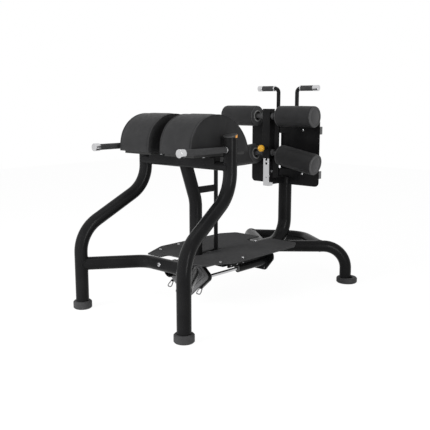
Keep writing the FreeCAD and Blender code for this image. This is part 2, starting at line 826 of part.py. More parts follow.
def rollers():
    ends = {"upper": (V(upper_roller_inner_x, tower_y, upper_roller_z),
                      V(upper_roller_outer_x, tower_y, upper_roller_z)),
            "lower": (V(lower_roller_inner_x, tower_y, lower_roller_inner_z),
                      V(lower_roller_outer_x, tower_y, lower_roller_outer_z))}
    for level, (start, end) in ends.items():
        foam, hub, axle = roller(start, end)
        both_sides(level + "_roller", foam)
        both_sides(level + "_hub", hub)
        pieces[level + "_axles"] = pair(axle)


def outline_face(y, right):
    """A face across the machine, from the right half of its corners, top to bottom."""
    corners = right + [(-x, z, radius) for x, z, radius in reversed(right)]
    points = [V(x, y, z) for x, z, radius in corners]
    edges = rounded_edges(points, [radius for x, z, radius in corners], True)
    return Part.Face(Part.Wire(edges))


def spine_notch(front, back):
    """The room that the sliding plate and its slabs leave for the spine."""
    half = spine_radius + anchor_notch_gap
    return block((-half, half), (front, back), (spine_z - half, spine_z + half))


def slab(level):
    """One slab of the stack, with its front edge chamfered."""
    back = anchor_y - level * slab_thickness
    front = back - slab_thickness
    nose_x = slab_nose_xs[level]
    nose_z = slab_nose_zs[level]

    def face(y, inset):
        return outline_face(y, [
            (nose_x * slab_top_share - inset, anchor_top_z - inset, slab_corner),
            (nose_x - inset, nose_z, slab_corner),
            (slab_bottom_half, slab_bottom_zs[level] + inset, slab_corner)])

    body = face(front + slab_edge, 0).extrude(V(0, slab_thickness - slab_edge, 0))
    rim = Part.makeLoft([face(front + slab_edge, 0).OuterWire, face(front, slab_edge).OuterWire],
                        True, True)
    return body.fuse(rim)


def anchor_plate():
    """The sliding plate with its ring lugs, the slabs stacked on its face, and its two rods."""
    right = [(anchor_top_half, anchor_top_z, anchor_corner),
             (anchor_nose_x, anchor_nose_z, anchor_nose),
             (anchor_bottom_half, anchor_bottom_z, anchor_bottom_corner)]
    back = anchor_y + anchor_plate_thickness
    plate = outline_face(anchor_y, right).extrude(V(0, anchor_plate_thickness, 0))
    lug = block((ring_x - lug_half_width, ring_x + lug_half_width), (anchor_y - lug_depth, anchor_y),
                (ring_bar_z - lug_half_height, ring_bar_z + lug_half_height))
    bore = rod(V(ring_x - lug_half_width, ring_y, ring_bar_z),
               V(ring_x + lug_half_width, ring_y, ring_bar_z), ring_wire_radius + shaft_gap)
    lug = lug.cut(bore)
    plate = fuse([plate, lug, mirrored(lug)])
    stack_front = anchor_y - len(slab_nose_xs) * slab_thickness
    notch = spine_notch(stack_front, back)
    pieces["anchor_plate"] = plate.cut(notch)
    stack = fuse([slab(level) for level in range(len(slab_nose_xs))])
    pieces["anchor_slabs"] = stack.cut(notch)
    bar = rod(V(slide_rod_x, back, slide_rod_z), V(slide_rod_x, slide_rod_end_y, slide_rod_z),
              slide_rod_radius)
    pieces["slide_rods"] = pair(bar)


def anchor_rings():
    """Two wide-footed D rings in the lugs, at rest tilted to the front."""
    tilt = math.radians(ring_tilt)
    low_y = ring_y - ring_length * math.sin(tilt)
    low_z = ring_bar_z - ring_length * math.cos(tilt)
    points = [V(ring_x, ring_y, ring_bar_z), V(ring_x + ring_top_half, ring_y, ring_bar_z),
              V(ring_x + ring_bottom_half, low_y, low_z), V(ring_x, low_y, low_z)]
    half = pipe_solid(points, [ring_top_corner, ring_bottom_corner], ring_wire_radius)
    other = half.mirror(points[0], V(1, 0, 0))
    both_sides("anchor_ring", fuse([half, other]))


def slide_housings():
    """The fixed tubes that the rods run in, their bushings, rails and rear plate."""
    start = V(slide_rod_x, housing_front_y, slide_rod_z)
    end = V(slide_rod_x, rear_plate_y, slide_rod_z)
    bore = housing_radius - housing_wall
    tube = rod(start, end, housing_radius).cut(rod(start, end, bore))
    rail = block((slide_rod_x - rail_thickness / 2, slide_rod_x + rail_thickness / 2),
                 (rail_front_y, rear_plate_y), (rail_bottom_z, deck_z))
    rail = rail.cut(rod(start, end, housing_radius))
    pieces["slide_housings"] = pair(fuse([tube, rail]))
    mouth = V(slide_rod_x, housing_front_y - bushing_lip, slide_rod_z)
    inside = V(slide_rod_x, housing_front_y + bushing_length, slide_rod_z)
    bushing = fuse([rod(start, inside, bore - fit_gap), rod(mouth, start, bushing_lip_radius)])
    pieces["slide_bushings"] = pair(bushing.cut(rod(mouth, inside, slide_rod_radius + shaft_gap)))
    right = [(rear_plate_half, anchor_top_z, rear_plate_corner),
             (rear_plate_half, rear_plate_nose_z, rear_plate_nose),
             (rear_plate_bottom_half, rear_plate_bottom_z, anchor_bottom_corner)]
    plate = outline_face(rear_plate_y, right).extrude(V(0, rear_plate_thickness, 0))
    hole = rod(V(rear_plate_hole_x, rear_plate_y, rear_plate_hole_z),
               V(rear_plate_hole_x, rear_plate_y + rear_plate_thickness, rear_plate_hole_z),
               rear_plate_hole_radius)
    pieces["rear_plate"] = plate.cut(spine_form).cut(hole).cut(mirrored(hole))


def bar_bolt():
    """The one socket-headed bolt on the lower crossbar's front, square to the tube."""
    angle = math.asin(bar_bolt_rise / tube_radius)
    out = V(0, -math.cos(angle), math.sin(angle))
    axis = V(bar_bolt_x, lower_bar_middle_y, lower_bar_z)
    seat = axis + out * (tube_radius - bar_bolt_seat)
    tip = axis + out * (tube_radius + bolt_head_height)
    head = bolt_head(seat, out, bar_bolt_radius, bar_bolt_seat + bolt_head_height)
    socket = rod(axis + out * tube_radius, tip, bar_bolt_radius * bar_bolt_socket_share)
    return head.cut(lower_bar_form).cut(socket)


def fixings():
    """Bolt heads that show: crossbar, deck, rails, pads, foot plates and the post's stop."""
    up = V(0, 0, 1)
    right = [bolt_head(V(deck_front_bolt_x, deck_front_bolt_y, deck_top_z), up),
             bolt_head(V(deck_rear_bolt_x, deck_rear_bolt_y, deck_top_z), up)]
    for step in range(rail_bolt_count):
        y = rail_front_y + rail_bolt_inset + step * rail_bolt_pitch
        right.append(bolt_head(V(slide_rod_x + rail_thickness / 2, y, rail_bolt_z), V(1, 0, 0),
                               rail_bolt_radius, rail_bolt_height))
    for x in (pad_inner_x + pad_bolt_inset_x, pad_outer_x - pad_bolt_inset_x):
        for y in (pad_bolt_front_y, pad_bolt_rear_y):
            right.append(bolt_head(V(x, y, board_z), V(0, 0, -1)))
    for z in (cross_tube_lower_z, cross_tube_upper_z):
        right.append(bolt_head(V(foot_plate_bolt_x, foot_plate_y, z), V(0, -1, 0)))
    stop = bolt_head(V(0, post_front_y, stop_screw_z), V(0, -1, 0), stop_screw_radius,
                     stop_screw_height)
    slot_bolt = bolt_head(V(0, slot_bolt_y, spine_z + spine_radius - slot_bolt_seat), up,
                          bolt_head_radius, slot_bolt_seat + bolt_head_height).cut(spine_form)
    left = [mirrored(head) for head in right]
    pieces["fixings"] = Part.makeCompound(right + left + [bar_bolt(), stop, slot_bolt])


front_legs()
leg_caps()
feet()
crossbars()
base_tubes()
strut_and_link()
deck()
deck_cross_members()
pads()
pad_carrier()
front_handles()
foot_plates()
upright_frame()
top_handles()
roller_post()
carriage_tube()
pop_pin()
rollers()
anchor_plate()
anchor_rings()
slide_housings()
fixings()
pieces["grip_trims"] = Part.makeCompound(trims + [mirrored(trim) for trim in trims])

os.makedirs("parts", exist_ok=True)
for name, shape in pieces.items():
    shape.translate(V(0, -origin_y, 0))
    shape.exportStep("parts/" + name + ".step")
    box = shape.BoundBox
    print(name, len(shape.Solids), round(shape.Volume), shape.isValid(),
          [round(value, 1) for value in (box.XMin, box.XMax, box.YMin, box.YMax, box.ZMin, box.ZMax)])
print(len(pieces), "pieces, origin", round(origin_y, 2))
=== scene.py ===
"""The looks of a glute ham developer, built round its fixed frame.
Metres. +X is the machine's right side, +Y runs from the hand grips to the foot plates, +Z is up.
The origin is on the floor, in the middle of the machine's length and width."""
import json
import math

import bmesh
import bpy
from mathutils import Matrix, Vector, noise
from mathutils.bvhtree import BVHTree

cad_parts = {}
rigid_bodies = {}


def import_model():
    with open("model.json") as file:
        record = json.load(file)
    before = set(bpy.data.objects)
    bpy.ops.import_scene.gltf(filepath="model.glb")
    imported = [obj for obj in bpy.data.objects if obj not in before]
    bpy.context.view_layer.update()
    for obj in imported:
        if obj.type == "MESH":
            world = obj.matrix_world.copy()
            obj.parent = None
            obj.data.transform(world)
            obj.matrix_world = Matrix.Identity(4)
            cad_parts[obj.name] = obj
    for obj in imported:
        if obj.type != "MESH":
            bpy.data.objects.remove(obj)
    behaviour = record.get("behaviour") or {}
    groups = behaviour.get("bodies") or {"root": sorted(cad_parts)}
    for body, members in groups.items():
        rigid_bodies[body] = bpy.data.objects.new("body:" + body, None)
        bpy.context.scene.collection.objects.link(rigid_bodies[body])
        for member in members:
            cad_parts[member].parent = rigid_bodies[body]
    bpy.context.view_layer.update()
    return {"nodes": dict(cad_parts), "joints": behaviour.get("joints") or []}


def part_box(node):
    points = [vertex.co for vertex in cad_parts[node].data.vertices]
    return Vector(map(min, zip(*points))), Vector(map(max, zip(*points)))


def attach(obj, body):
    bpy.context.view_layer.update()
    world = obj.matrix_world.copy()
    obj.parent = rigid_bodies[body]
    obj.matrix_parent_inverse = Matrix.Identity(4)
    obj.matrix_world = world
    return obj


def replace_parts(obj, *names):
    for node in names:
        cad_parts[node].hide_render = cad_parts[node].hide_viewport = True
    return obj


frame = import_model()
nodes = frame["nodes"]
joints = {joint["name"]: joint for joint in frame["joints"]}

X, Y, Z = Vector((1, 0, 0)), Vector((0, 1, 0)), Vector((0, 0, 1))
SIDES = (("right", 1), ("left", -1))

# Camera, as measured in the photograph
camera_place = Vector((2.682, -3.02702, 1.2))
camera_yaw = math.radians(42.38)
camera_tilt = math.radians(9.81)
camera_lens = 55.62
camera_sensor = 36.0

# Colours, linear
coat_black = (0.0065, 0.0065, 0.0068)
coat_black_light = (0.0085, 0.0085, 0.0088)
deck_grey = (0.048, 0.048, 0.049)
deck_grey_light = (0.054, 0.054, 0.055)
vinyl_black = (0.0145, 0.0145, 0.015)
vinyl_black_light = (0.0175, 0.0175, 0.018)
disc_grey = (0.04, 0.04, 0.041)
disc_grey_light = (0.045, 0.045, 0.046)
ring_white = (0.22, 0.22, 0.217)
plug_grey = (0.13, 0.13, 0.13)
axle_black = (0.045, 0.045, 0.046)
rubber_dark = (0.026, 0.026, 0.027)
rubber_light = (0.033, 0.033, 0.034)
aluminium_bright = (0.62, 0.62, 0.63)
steel_bright = (0.5, 0.5, 0.51)
ring_steel = (0.2, 0.2, 0.205)
chrome_bright = (0.5, 0.5, 0.51)
knob_yellow = (0.62, 0.32, 0.02)
accent_orange = (0.75, 0.33, 0.06)
slab_light = (0.1, 0.1, 0.102)
# Painted shade: the dark colour given to the foremost slab, which lies in shadow
slab_painted_shade = (0.012, 0.012, 0.012)
cap_grey = (0.04, 0.04, 0.041)
board_black = (0.008, 0.008, 0.008)
board_black_light = (0.012, 0.012, 0.012)
floor_white = (0.9, 0.9, 0.9)

# How far back the foremost of the three slabs reaches in the stack, as a share of its depth; that
# slab is painted dark as shade, since it lies in shadow under the deck
slab_shade_reach = 0.32
slab_shade_fade_width = 0.02

# Roughness of each finish, from its smoothest spots to its roughest
frame_sheen = (0.22, 0.28)
axle_sheen = (0.24, 0.3)
deck_sheen = (0.6, 0.7)
slab_sheen = (0.4, 0.48)
vinyl_sheen = (0.44, 0.56)
disc_sheen = (0.42, 0.52)
ring_sheen = (0.35, 0.45)
plug_sheen = (0.4, 0.5)
cap_sheen = (0.3, 0.4)
knob_sheen = (0.22, 0.3)
rubber_sheen = (0.66, 0.82)
aluminium_sheen = (0.22, 0.32)
chrome_sheen = (0.03, 0.09)
zinc_sheen = (0.16, 0.26)
wire_sheen = (0.2, 0.3)
board_roughness = 0.6

# Strength of the mirror layer on the finishes that aren't metal
coat_specular = 0.06
deck_specular = 0.012
vinyl_specular = 0.12
moulded_specular = 0.25
rubber_specular = 0.3

# Noise: the part of its range that is used, its fineness per metre, and its detail
tint_low = 0.35
tint_high = 0.65
noise_low = 0.3
noise_high = 0.7
plain_detail = 2.0
metal_detail = 3.0
rich_detail = 4.0
coat_tint_scale = 9.0
coat_sheen_scale = 40.0
coat_peel_scale = 420.0
vinyl_tint_scale = 14.0
vinyl_sheen_scale = 60.0
vinyl_pebble_scale = 620.0
vinyl_pore_scale = 1500.0
moulded_tint_scale = 25.0
moulded_sheen_scale = 90.0
moulded_texture_scale = 1100.0
rubber_tint_scale = 30.0
rubber_sheen_scale = 70.0
rubber_texture_scale = 420.0
turning_scale = 30.0
turning_sheen_scale = 12.0
turning_stretch = 40
plated_tint_scale = 20.0
plated_sheen_scale = 35.0
board_tint_scale = 40.0
board_tint_stretch = (1, 1, 12)
board_grain_scale = 160.0
board_grain_stretch = (1, 0.2, 3)

# Relief: its depth in metres, and its strength
coat_peel_depth = 0.00004
coat_peel_strength = 0.3
vinyl_pebble_depth = 0.0002
vinyl_pore_depth = 0.00006
moulded_texture_depth = 0.00005
rubber_texture_depth = 0.00008
rubber_texture_strength = 0.15
turning_depth = 0.00003
board_grain_depth = 0.0002
common_strength = 0.4
moulded_strength = 0.5

# How dark the darker spots of bare metal are beside its colour
turned_shade_share = 0.9
plated_shade_share = 0.95


class Finish:
    """A node material in the making: its shader, and short calls that add nodes."""

    def __init__(self, name, roughness, metallic=0.0, specular=0.5):
        self.material = bpy.data.materials.new(name)
        self.material.use_nodes = True
        tree = self.material.node_tree
        self.nodes = tree.nodes
        self.links = tree.links
        self.shader = self.nodes["Principled BSDF"]
        self.shader.inputs["Roughness"].default_value = roughness
        self.shader.inputs["Metallic"].default_value = metallic
        self.shader.inputs["Specular IOR Level"].default_value = specular
        self.place = self.nodes.new("ShaderNodeTexCoord").outputs["Object"]

    def stretched(self, stretch):
        mapping = self.nodes.new("ShaderNodeMapping")
        mapping.inputs["Scale"].default_value = stretch
        self.links.new(self.place, mapping.inputs["Vector"])
        return mapping.outputs["Vector"]

    def grain(self, scale, detail=plain_detail, stretch=(1, 1, 1)):
        """Soft noise, as a value about one half."""
        texture = self.nodes.new("ShaderNodeTexNoise")
        texture.inputs["Scale"].default_value = scale
        texture.inputs["Detail"].default_value = detail
        self.links.new(self.stretched(stretch), texture.inputs["Vector"])
        return texture.outputs["Fac"]

    def cells(self, scale):
        """Distance to the nearest of scattered points, as in leather grain."""
        texture = self.nodes.new("ShaderNodeTexVoronoi")
        texture.feature = "SMOOTH_F1"
        texture.inputs["Scale"].default_value = scale
        self.links.new(self.place, texture.inputs["Vector"])
        return texture.outputs["Distance"]

    def colour(self, factor, dark, light, low=tint_low, high=tint_high):
        ramp = self.nodes.new("ShaderNodeValToRGB")
        stops = ramp.color_ramp.elements
        stops[0].position = low
        stops[0].color = (*dark, 1)
        stops[1].position = high
        stops[1].color = (*light, 1)
        self.links.new(factor, ramp.inputs["Fac"])
        self.links.new(ramp.outputs["Color"], self.shader.inputs["Base Color"])

    def roughness(self, factor, low, high):
        spread = self.nodes.new("ShaderNodeMapRange")
        spread.inputs["From Min"].default_value = noise_low
        spread.inputs["From Max"].default_value = noise_high
        spread.inputs["To Min"].default_value = low
        spread.inputs["To Max"].default_value = high
        self.links.new(factor, spread.inputs["Value"])
        self.links.new(spread.outputs["Result"], self.shader.inputs["Roughness"])

    def bump(self, height, depth, strength=1.0):
        """Add relief to what is there already; depth is in metres."""
        relief = self.nodes.new("ShaderNodeBump")
        relief.inputs["Distance"].default_value = depth
        relief.inputs["Strength"].default_value = strength
        self.links.new(height, relief.inputs["Height"])
        normal = self.shader.inputs["Normal"]
        if normal.links:
            self.links.new(normal.links[0].from_socket, relief.inputs["Normal"])
        self.links.new(relief.outputs["Normal"], normal)


def sprayed(finish, sheen):
    """Give a coat its uneven sheen and its fine orange peel."""
    finish.roughness(finish.grain(coat_sheen_scale), *sheen)
    finish.bump(finish.grain(coat_peel_scale), coat_peel_depth, coat_peel_strength)
    return finish.material


def powder_coat(name, dark, light, sheen, specular=coat_specular):
    """Sprayed coat in one colour."""
    finish = Finish(name, sheen[0], specular=specular)
    finish.colour(finish.grain(coat_tint_scale), dark, light)
    return sprayed(finish, sheen)


def painted_shade_stack_coat(name):
    """The slabs' coat: light grey, with painted shade in place of the shadow on the slab that
    stands foremost.
    """
    finish = Finish(name, slab_sheen[0], specular=coat_specular)
    spread = finish.nodes.new("ShaderNodeSeparateXYZ")
    finish.links.new(finish.place, spread.inputs["Vector"])
    low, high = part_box("anchor_slabs")
    share = finish.nodes.new("ShaderNodeMapRange")
    share.inputs["From Min"].default_value = low.y
    share.inputs["From Max"].default_value = high.y
    finish.links.new(spread.outputs["Y"], share.inputs["Value"])
    # Painted shade: dark up to the foremost slab's back face, the coat's light grey behind it
    finish.colour(share.outputs["Result"], slab_painted_shade, slab_light, slab_shade_reach,
                  slab_shade_reach + slab_shade_fade_width)
    return sprayed(finish, slab_sheen)


def vinyl(name, dark, light):
    """Upholstery skin: pebbled cells with fine pores and a slow sheen change."""
    finish = Finish(name, vinyl_sheen[0], specular=vinyl_specular)
    finish.colour(finish.grain(vinyl_tint_scale), dark, light)
    finish.roughness(finish.grain(vinyl_sheen_scale), *vinyl_sheen)
    finish.bump(finish.cells(vinyl_pebble_scale), vinyl_pebble_depth, common_strength)
    finish.bump(finish.grain(vinyl_pore_scale), vinyl_pore_depth, common_strength)
    return finish.material


def moulded(name, dark, light, sheen):
    """Moulded plastic with a fine spark-eroded texture."""
    finish = Finish(name, sheen[0], specular=moulded_specular)
    finish.colour(finish.grain(moulded_tint_scale), dark, light)
    finish.roughness(finish.grain(moulded_sheen_scale), *sheen)
    finish.bump(finish.grain(moulded_texture_scale), moulded_texture_depth, moulded_strength)
    return finish.material


def rubber(name, dark, light):
    """Matt rubber with a faint texture."""
    finish = Finish(name, rubber_sheen[0], specular=rubber_specular)
    finish.colour(finish.grain(rubber_tint_scale), dark, light)
    finish.roughness(finish.grain(rubber_sheen_scale), *rubber_sheen)
    finish.bump(finish.grain(rubber_texture_scale, rich_detail), rubber_texture_depth,
                rubber_texture_strength)
    return finish.material


def turned_metal(name, colour, sheen, stretch):
    """Metal with fine tool marks; stretch is large along the axis it was turned on."""
    finish = Finish(name, sheen[0], 1.0)
    shade = [turned_shade_share * part for part in colour]
    finish.colour(finish.grain(turning_scale, metal_detail, stretch), shade, colour)
    finish.roughness(finish.grain(turning_sheen_scale, plain_detail, stretch), *sheen)
    finish.bump(finish.grain(turning_scale, metal_detail, stretch), turning_depth,
                common_strength)
    return finish.material


def plated(name, colour, sheen):
    """Bright plating with faint smudges."""
    finish = Finish(name, sheen[0], 1.0)
    shade = [plated_shade_share * part for part in colour]
    finish.colour(finish.grain(plated_tint_scale), shade, colour)
    finish.roughness(finish.grain(plated_sheen_scale, metal_detail), *sheen)
    return finish.material


def stained_board(name):
    """Dark stained plywood with an open grain."""
    finish = Finish(name, board_roughness)
    tint = finish.grain(board_tint_scale, rich_detail, board_tint_stretch)
    finish.colour(tint, board_black, board_black_light)
    finish.bump(finish.grain(board_grain_scale, rich_detail, board_grain_stretch),
                board_grain_depth, common_strength)
    return finish.material


frame_coat = powder_coat("frame_coat", coat_black, coat_black_light, frame_sheen)
axle_coat = powder_coat("axle_coat", axle_black, axle_black, axle_sheen)
deck_coat = powder_coat("deck_coat", deck_grey, deck_grey_light, deck_sheen, deck_specular)
slab_coat_and_painted_shade = painted_shade_stack_coat("slab_coat_and_painted_shade")
pad_vinyl = vinyl("pad_vinyl", vinyl_black, vinyl_black_light)
roller_vinyl = vinyl("roller_vinyl", vinyl_black, vinyl_black_light)
piping_vinyl = vinyl("piping_vinyl", coat_black, vinyl_black)
disc_plastic = moulded("disc_plastic", disc_grey, disc_grey_light, disc_sheen)
ring_plastic = moulded("ring_plastic", ring_white, ring_white, ring_sheen)
plug_plastic = moulded("plug_plastic", plug_grey, plug_grey, plug_sheen)
cap_plastic = moulded("cap_plastic", cap_grey, cap_grey, cap_sheen)
black_plastic = moulded("black_plastic", coat_black, coat_black_light, plug_sheen)
foot_rubber = rubber("foot_rubber", rubber_dark, rubber_light)
grip_rubber = rubber("grip_rubber", rubber_dark, rubber_light)
aluminium_y = turned_metal("aluminium_y", aluminium_bright, aluminium_sheen,
                           (1, turning_stretch, 1))
aluminium_x = turned_metal("aluminium_x", aluminium_bright, aluminium_sheen,
                           (turning_stretch, 1, 1))
chrome = plated("chrome", chrome_bright, chrome_sheen)
bolt_zinc = plated("bolt_zinc", steel_bright, zinc_sheen)
ring_zinc = plated("ring_zinc", ring_steel, wire_sheen)
knob_plastic = moulded("knob_plastic", knob_yellow, knob_yellow, knob_sheen)
accent_plastic = moulded("accent_plastic", accent_orange, accent_orange, cap_sheen)
pad_board = stained_board("pad_board")

# Shapes and counts that several pieces share
weld_distance = 0.000001
join_distance = weld_distance * 10
lathe_sides = 72
bead_sides = 10
fillet_steps = 5
smooth_limit = math.radians(40)
bevel_limit = math.radians(35)
bevel_segments = 2


def paint(obj, material):
    obj.data.materials.clear()
    obj.data.materials.append(material)
    return obj


def shaded(mesh):
    mesh.shade_smooth()
    mesh.set_sharp_from_angle(angle=smooth_limit)
    return mesh


def made(name, bm, material, body):
    """A new object from a bmesh, smooth but for its sharp edges, riding on a body."""
    mesh = bpy.data.meshes.new(name)
    bmesh.ops.recalc_face_normals(bm, faces=bm.faces)
    bm.to_mesh(mesh)
    bm.free()
    obj = bpy.data.objects.new(name, shaded(mesh))
    bpy.context.scene.collection.objects.link(obj)
    paint(obj, material)
    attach(obj, body)
    return obj


def rounded(profile):
    """Turn (radius, height, fillet) corners into a profile with round corners."""
    points = []
    for i, (radius, height, fillet) in enumerate(profile):
        corner = Vector((radius, height))
        if not fillet:
            points.append(corner)
            continue
        back = (Vector(profile[i - 1][:2]) - corner).normalized()
        ahead = (Vector(profile[(i + 1) % len(profile)][:2]) - corner).normalized()
        half = back.angle(ahead) / 2
        reach = fillet / math.tan(half)
        middle = corner + (back + ahead).normalized() * (fillet / math.sin(half))
        start = corner + back * reach - middle
        end = corner + ahead * reach - middle
        turn = start.angle(end)
        for k in range(fillet_steps + 1):
            share = k / fillet_steps
            low = math.sin((1 - share) * turn) / math.sin(turn)
            high = math.sin(share * turn) / math.sin(turn)
            points.append(middle + start * low + end * high)
    return points


def place_along(start, direction):
    """The matrix that takes the origin and +Z to start and direction."""
    turn = direction.to_track_quat("Z", "Y").to_matrix().to_4x4()
    return Matrix.Translation(start) @ turn


def bridge(bm, lower, upper):
    """Faces between two rings, either of which may be one point."""
    sides = max(len(lower), len(upper))
    for k in range(sides):
        following = (k + 1) % sides
        corners = [lower[k % len(lower)], lower[following % len(lower)],
                   upper[following % len(upper)], upper[k % len(upper)]]
        corners = [vert for i, vert in enumerate(corners) if vert not in corners[:i]]
        if len(corners) > 2:
            bm.faces.new(corners)


def lathe(bm, profile, start, direction, shape=None):
    """Revolve a profile about a line; shape may push each point out a little."""
    place = place_along(start, direction)
    rings = []
    for radius, height in profile:
        if radius < weld_distance:
            rings.append([bm.verts.new(place @ Vector((0, 0, height)))])
            continue
        ring = []
        for k in range(lathe_sides):
            angle = 2 * math.pi * k / lathe_sides
            out = radius if shape is None else radius + shape(radius, height, angle)
            point = Vector((out * math.cos(angle), out * math.sin(angle), height))
            ring.append(bm.verts.new(place @ point))
        rings.append(ring)
    for lower, upper in zip(rings, rings[1:]):
        bridge(bm, lower, upper)
    if len(rings[0]) > 1:
        bridge(bm, rings[-1], rings[0])


def turned(name, profile, start, direction, material, body, shape=None):
    bm = bmesh.new()
    lathe(bm, profile, start, direction, shape)
    return made(name, bm, material, body)


def bead(bm, points, radius):
    """A closed round bead along a loop of points."""
    count = len(points)
    rings = []
    for i, point in enumerate(points):
        ahead = (points[(i + 1) % count] - points[i - 1]).normalized()
        place = place_along(point, ahead)
        angles = [2 * math.pi * k / bead_sides for k in range(bead_sides)]
        spots = [Vector((radius * math.cos(a), radius * math.sin(a), 0)) for a in angles]
        rings.append([bm.verts.new(place @ spot) for spot in spots])
    for i, ring in enumerate(rings):
        following = rings[(i + 1) % count]
        turn = min(range(bead_sides), key=lambda k: (following[k].co - ring[0].co).length)
        bridge(bm, ring, following[turn:] + following[:turn])


def islands(node):
    """The points of each separate solid in a node."""
    bm = bmesh.new()
    bm.from_mesh(nodes[node].data)
    bmesh.ops.remove_doubles(bm, verts=bm.verts, dist=weld_distance)
    left = set(bm.verts)
    found = []
    for vert in bm.verts:
        if vert not in left:
            continue
        left.remove(vert)
        edge_of = [vert]
        group = [vert.co.copy()]
        while edge_of:
            for edge in edge_of.pop().link_edges:
                for end in edge.verts:
                    if end in left:
                        left.remove(end)
                        edge_of.append(end)
                        group.append(end.co.copy())
        found.append(group)
    bm.free()
    return found


def limits(points):
    low = Vector([min(point[i] for point in points) for i in range(3)])
    high = Vector([max(point[i] for point in points) for i in range(3)])
    return low, high


def along(points, start, direction):
    """Where points begin and end along a line, and how far they reach out from it."""
    spans = [(point - start).dot(direction) for point in points]
    reach = max((point - start - direction * span).length for point, span in zip(points, spans))
    return min(spans), max(spans), reach


def node_points(node):
    return [vert.co for vert in nodes[node].data.vertices]


# Nodes that keep their own mesh
coat_nodes = ("front_leg_right", "front_leg_left", "lower_crossbar", "upper_crossbar",
              "rear_crossbar", "spine_column", "rear_leg_right", "rear_leg_left", "centre_post",
              "pad_strut", "link_plate", "deck_cross_members", "pad_carrier", "handle_bars",
              "foot_plate_right", "foot_plate_left", "foot_plate_frame", "top_handle_bars",
              "post_arm", "carriage_tube", "anchor_plate", "slide_housings", "rear_plate")
other_nodes = {"deck": deck_coat, "anchor_slabs": slab_coat_and_painted_shade, "pad_boards": pad_board,
               "cross_tube_ends": plug_plastic, "roller_post": chrome, "slide_rods": chrome,
               "carriage_sleeve": black_plastic, "pin_barrel": black_plastic,
               "pop_pin": black_plastic, "slide_bushings": plug_plastic,
               "upper_axles": axle_coat, "lower_axles": axle_coat,
               "leg_caps": cap_plastic, "cap_accents": accent_plastic,
               "anchor_ring_right": ring_zinc, "anchor_ring_left": ring_zinc}
bevelled_nodes = {"deck": 0.0012, "foot_plate_right": 0.0012, "foot_plate_left": 0.0012,
                  "foot_plate_frame": 0.0015, "carriage_tube": 0.0025, "roller_post": 0.0015,
                  "anchor_plate": 0.0012, "rear_plate": 0.0012, "link_plate": 0.0008,
                  "pad_carrier": 0.001, "cross_tube_ends": 0.0015, "leg_caps": 0.0015,
                  "cap_accents": 0.0004, "carriage_sleeve": 0.0008, "post_arm": 0.001,
                  "deck_cross_members": 0.001, "pad_boards": 0.001}


def bevelled(obj, width):
    """Round a node's sharp edges by a bevel that its mesh itself doesn't hold."""
    join = obj.modifiers.new("join", "WELD")
    join.merge_threshold = join_distance
    bevel = obj.modifiers.new("bevel", "BEVEL")
    bevel.width = width
    bevel.segments = bevel_segments
    bevel.limit_method = "ANGLE"
    bevel.angle_limit = bevel_limit
    bevel.use_clamp_overlap = True
    bevel.harden_normals = True


for name in coat_nodes:
    paint(nodes[name], frame_coat)
for name, material in other_nodes.items():
    paint(nodes[name], material)
for name, width in bevelled_nodes.items():
    bevelled(nodes[name], width)

# Thigh pads
pad_lean = 0.032
pad_rim = 0.006
pad_swell_limit = 0.003
pad_pressure = 4.0
pad_frames = 20
pad_stations = 22
pad_arc_points = 84
pad_base_points = 40
pad_cap_rings = 9
pad_heart_share = 0.36
rim_points = 4
held_height = 0.004
seam_inset = 0.0145
seam_width = 0.0022
seam_depth = 0.0016
seam_spread = (-1.4, -0.7, 0, 0.7, 1.4)
piping_radius = 0.0021


def pad_section(x, inset, low, high):
    """Points round one D section, over the arc and back along the flat base."""
    depth = high.y - low.y
    half = (depth ** 2 - pad_lean ** 2) / (2 * depth)
    middle = high.y - half
    height = high.z - low.z
    points = []
    for k in range(pad_arc_points + 1):
        angle = math.pi * k / pad_arc_points
        rise = math.sin(angle)
        y = middle - (half - inset) * math.cos(angle) - pad_lean * rise
        points.append(Vector((x, y, low.z + (height - inset) * rise)))
    for k in range(1, pad_base_points):
        points.append(points[pad_arc_points].lerp(points[0], k / pad_base_points))
    return points


def half_stations(width):
    """Distances in from an end face, each with how far the section draws in there."""
    rim = []
    for k in range(rim_points + 1):
        angle = math.pi / 2 * k / rim_points
        rim.append((pad_rim * (1 - math.cos(angle)), pad_rim * (1 - math.sin(angle))))
    seam = [(seam_inset + seam_width * share, 0) for share in seam_spread]
    start = seam[-1][0]
    steps = pad_stations // 2
    run = [(start + (width / 2 - start) * k / steps, 0) for k in range(1, steps + 1)]
    return rim + seam + run


def pad_blank(low, high):
    """The closed D form with round rims and end faces of nested rings."""
    bm = bmesh.new()
    width = high.x - low.x
    near = half_stations(width)
    stations = near + [(width - x, inset) for x, inset in reversed(near[:-1])]
    heart = Vector((0, (low.y + high.y) / 2, low.z + (high.z - low.z) * pad_heart_share))

    def cap(section, order):
        middle = Vector((section[0].x, heart.y, heart.z))
        nested = [[bm.verts.new(point.lerp(middle, k / pad_cap_rings)) for point in section]
                  for k in range(pad_cap_rings - 1, 0, -1)]
        tip = [[bm.verts.new(middle)]]
        return tip + nested if order > 0 else nested[::-1] + tip

    sections = [pad_section(low.x + x, inset, low, high) for x, inset in stations]
    rings = cap(sections[0], 1)
    rings += [[bm.verts.new(point) for point in section] for section in sections]
    rings += cap(sections[-1], -1)
    for lower, upper in zip(rings, rings[1:]):
        bridge(bm, lower, upper)
    bm.verts.index_update()
    middle_of_rim = pad_cap_rings + rim_points // 2
    both = (middle_of_rim, len(rings) - 1 - middle_of_rim)
    edges = [[vert.index for vert in rings[i]] for i in both]
    bmesh.ops.recalc_face_normals(bm, faces=bm.faces)
    mesh = bpy.data.meshes.new("pad_blank")
    bm.to_mesh(mesh)
    bm.free()
    return mesh, edges


def applied(obj):
    """The object's mesh with its modifiers applied, put back without them."""
    graph = bpy.context.evaluated_depsgraph_get()
    mesh = bpy.data.meshes.new_from_object(obj.evaluated_get(graph))
    obj.modifiers.clear()
    obj.data = mesh
    return mesh


